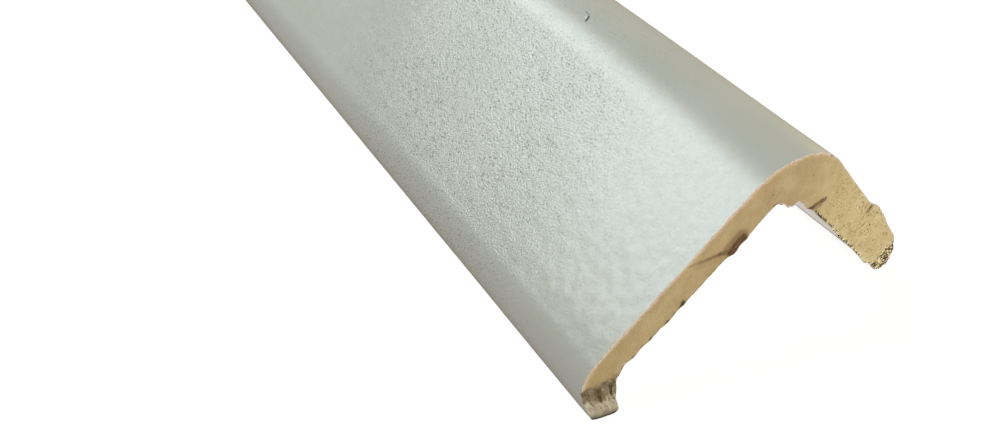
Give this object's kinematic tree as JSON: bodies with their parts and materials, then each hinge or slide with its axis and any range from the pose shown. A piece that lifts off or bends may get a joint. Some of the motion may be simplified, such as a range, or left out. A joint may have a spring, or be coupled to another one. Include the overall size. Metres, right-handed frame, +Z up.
{
  "type": "corner moulding",
  "caption": "Short length of coated wood outside-corner moulding: equal legs at a right angle, rounded corner and edges, sawn square, with a torn sliver at one tip.",
  "frame": {"origin": "on the floor below the middle of the box, with the moulding standing on the tips of its two legs", "axes": "+Y along the length, from the sawn end with the torn sliver to the other end; +Z up, from the feet to the rounded corner; +X from the leg with the sliver to the other leg"},
  "size_m": [0.043, 0.102, 0.022],
  "materials": {
    "coated_wood": "light grey orange-peel coating, bare tan wood at the sawn ends"
  },
  "bodies": {
    "root": {"corner_moulding": "coated_wood"}
  },
  "joints": []
}
